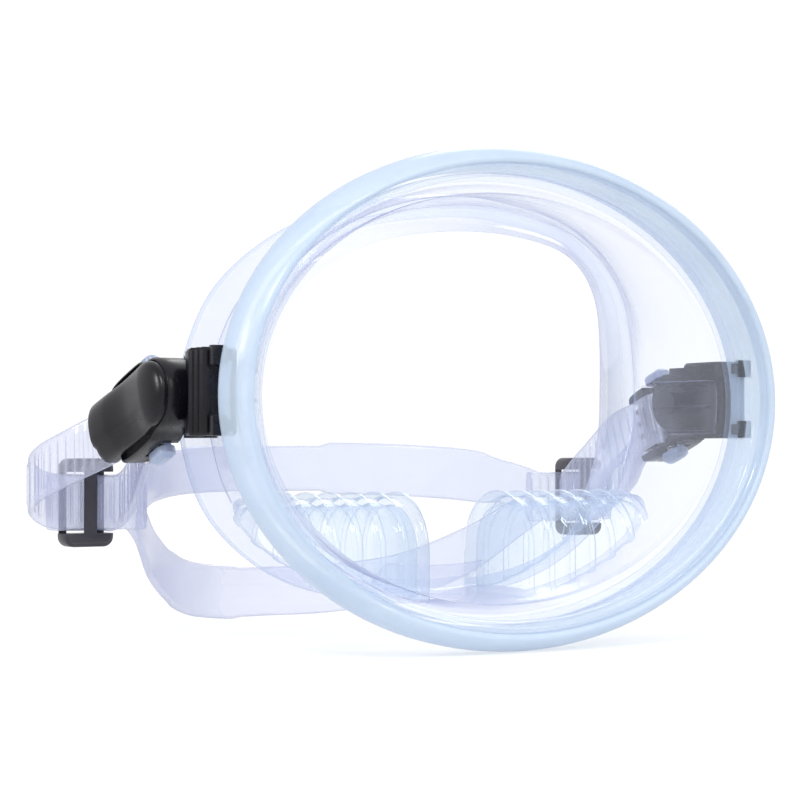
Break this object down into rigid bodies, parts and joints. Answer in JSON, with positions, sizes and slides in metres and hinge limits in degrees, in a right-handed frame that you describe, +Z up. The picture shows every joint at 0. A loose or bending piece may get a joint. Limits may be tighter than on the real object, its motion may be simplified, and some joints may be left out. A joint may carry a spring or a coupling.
{
  "type": "diving mask",
  "caption": "Oval single-lens diving mask with a clear silicone skirt, ribbed finger pockets beside the nose, swivel buckles and a split head strap.",
  "frame": {"origin": "on the floor, under the middle of the object's box", "axes": "+X to the right as the lens is faced, -Y the way the lens looks, +Z up"},
  "size_m": [0.1852, 0.1304, 0.121],
  "materials": {
    "glass": "tempered, polished",
    "ring_plastic": "translucent, polished",
    "inner_ring_plastic": "translucent, polished",
    "silicone": "clear silicone, satin",
    "pocket_silicone": "clear silicone, glossy ribs",
    "strap_silicone": "clear silicone, ribbed",
    "buckle_plastic": "satin moulded",
    "keeper_plastic": "satin moulded",
    "button_plastic": "satin moulded",
    "steel": "stainless"
  },
  "bodies": {
    "mask": {"lens": "glass", "lens_ring": "ring_plastic", "retaining_ring": "inner_ring_plastic", "skirt": "silicone", "face_seal": "silicone", "finger_pocket_left": "pocket_silicone", "finger_pocket_right": "pocket_silicone", "bracket_left": "buckle_plastic", "pivot_pin_left": "buckle_plastic", "bracket_right": "buckle_plastic", "pivot_pin_right": "buckle_plastic"},
    "strap": {"head_strap": "strap_silicone"},
    "left_buckle": {"buckle_frame_left": "buckle_plastic", "buckle_cover_left": "buckle_plastic", "cover_screw_left": "steel", "roller_pin_left": "steel", "pawl_pin_left": "steel", "upper_spring_left": "steel", "lower_spring_left": "steel"},
    "left_upper_button": {"upper_button_left": "button_plastic"},
    "left_lower_button": {"lower_button_left": "button_plastic"},
    "left_pawl": {"pawl_left": "buckle_plastic"},
    "left_roller": {"strap_roller_left": "steel"},
    "left_keeper": {"keeper_left": "keeper_plastic"},
    "right_buckle": {"buckle_frame_right": "buckle_plastic", "buckle_cover_right": "buckle_plastic", "cover_screw_right": "steel", "roller_pin_right": "steel", "pawl_pin_right": "steel", "upper_spring_right": "steel", "lower_spring_right": "steel"},
    "right_upper_button": {"upper_button_right": "button_plastic"},
    "right_lower_button": {"lower_button_right": "button_plastic"},
    "right_pawl": {"pawl_right": "buckle_plastic"},
    "right_roller": {"strap_roller_right": "steel"},
    "right_keeper": {"keeper_right": "keeper_plastic"}
  },
  "joints": [
    {"name": "strap_swing", "type": "hinge", "parent": "mask", "child": "strap", "pos_m": [0, -0.0292, 0.061], "axis": [1, 0, 0], "range_deg": [0, 75]},
    {"name": "left_swivel", "type": "hinge", "parent": "mask", "child": "left_buckle", "pos_m": [-0.077, -0.0292, 0.061], "axis": [1, 0, 0], "range_deg": [0, 75]},
    {"name": "left_upper_press", "type": "slide", "parent": "left_buckle", "child": "left_upper_button", "axis": [0, -0.342, -0.9397], "range_m": [0, 0.0016], "stiffness_N_per_m": 250, "springref_m": -0.0012, "deforming": ["upper_spring_left"]},
    {"name": "left_lower_press", "type": "slide", "parent": "left_buckle", "child": "left_lower_button", "axis": [0, 0.342, 0.9397], "range_m": [0, 0.0016], "stiffness_N_per_m": 250, "springref_m": -0.0012, "deforming": ["lower_spring_left"]},
    {"name": "left_pawl_lift", "type": "hinge", "parent": "left_buckle", "child": "left_pawl", "pos_m": [-0.077, -0.01182, 0.05467], "axis": [0, -0.342, -0.9397], "range_deg": [0, 11]},
    {"name": "left_roller_turn", "type": "hinge", "parent": "left_buckle", "child": "left_roller", "pos_m": [-0.077, -0.01698, 0.05655], "axis": [0, 0.342, 0.9397], "continuous": true},
    {"name": "left_keeper_slide", "type": "slide", "parent": "strap", "child": "left_keeper", "axis": [-1, 0, 0], "range_m": [-0.001, 0.001]},
    {"name": "right_swivel", "type": "hinge", "parent": "mask", "child": "right_buckle", "pos_m": [0.077, -0.0292, 0.061], "axis": [1, 0, 0], "range_deg": [0, 75]},
    {"name": "right_upper_press", "type": "slide", "parent": "right_buckle", "child": "right_upper_button", "axis": [0, -0.342, -0.9397], "range_m": [0, 0.0016], "stiffness_N_per_m": 250, "springref_m": -0.0012, "deforming": ["upper_spring_right"]},
    {"name": "right_lower_press", "type": "slide", "parent": "right_buckle", "child": "right_lower_button", "axis": [0, 0.342, 0.9397], "range_m": [0, 0.0016], "stiffness_N_per_m": 250, "springref_m": -0.0012, "deforming": ["lower_spring_right"]},
    {"name": "right_pawl_lift", "type": "hinge", "parent": "right_buckle", "child": "right_pawl", "pos_m": [0.077, -0.01182, 0.05467], "axis": [0, 0.342, 0.9397], "range_deg": [0, 11]},
    {"name": "right_roller_turn", "type": "hinge", "parent": "right_buckle", "child": "right_roller", "pos_m": [0.077, -0.01698, 0.05655], "axis": [0, 0.342, 0.9397], "continuous": true},
    {"name": "right_keeper_slide", "type": "slide", "parent": "strap", "child": "right_keeper", "axis": [1, 0, 0], "range_m": [-0.001, 0.001]}
  ],
  "couplings": [
    {"joint": "left_swivel", "follows": "strap_swing", "ratio": 1},
    {"joint": "left_lower_press", "follows": "left_upper_press", "ratio": 1},
    {"joint": "left_pawl_lift", "follows": "left_upper_press", "rad_per_m": 109.08},
    {"joint": "right_swivel", "follows": "strap_swing", "ratio": 1},
    {"joint": "right_lower_press", "follows": "right_upper_press", "ratio": 1},
    {"joint": "right_pawl_lift", "follows": "right_upper_press", "rad_per_m": 109.08}
  ]
}
